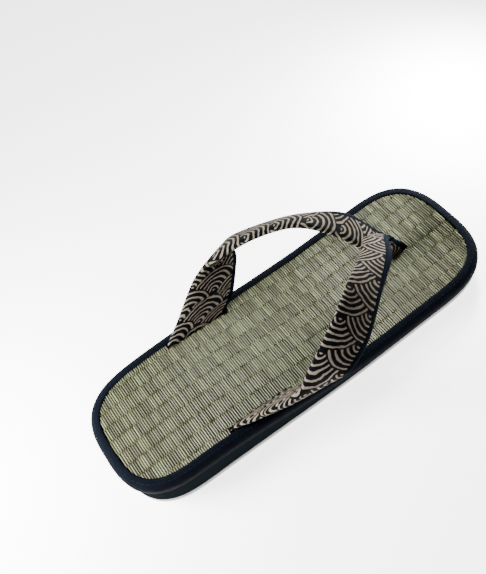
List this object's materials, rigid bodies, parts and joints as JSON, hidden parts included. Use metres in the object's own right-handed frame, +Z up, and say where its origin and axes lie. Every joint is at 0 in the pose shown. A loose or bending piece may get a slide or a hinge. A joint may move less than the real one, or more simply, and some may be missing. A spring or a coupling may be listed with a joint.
{
  "type": "zori sandal",
  "caption": "Flat zori sandal with a low wedge sole, a woven rush footbed edged in dark cloth, and a padded V strap in wave-patterned fabric.",
  "frame": {"origin": "on the floor, below the middle of the sandal's box", "axes": "+Z up, +Y towards the toe, +X to the wearer's right"},
  "size_m": [0.1111, 0.2466, 0.0668],
  "materials": {
    "outsole_rubber": "matte pale rubber",
    "midsole_foam": "matte closed-cell foam",
    "rush_mat": "dry woven rush",
    "binding_cotton": "tight cotton tape",
    "strap_cloth": "soft cloth with a wave pattern",
    "edging_velvet": "short velvet pile"
  },
  "bodies": {
    "root": {"outsole": "outsole_rubber", "midsole": "midsole_foam", "footbed": "rush_mat", "binding": "binding_cotton", "strap": "strap_cloth", "strap_edging_left": "edging_velvet", "strap_edging_right": "edging_velvet"}
  },
  "joints": []
}
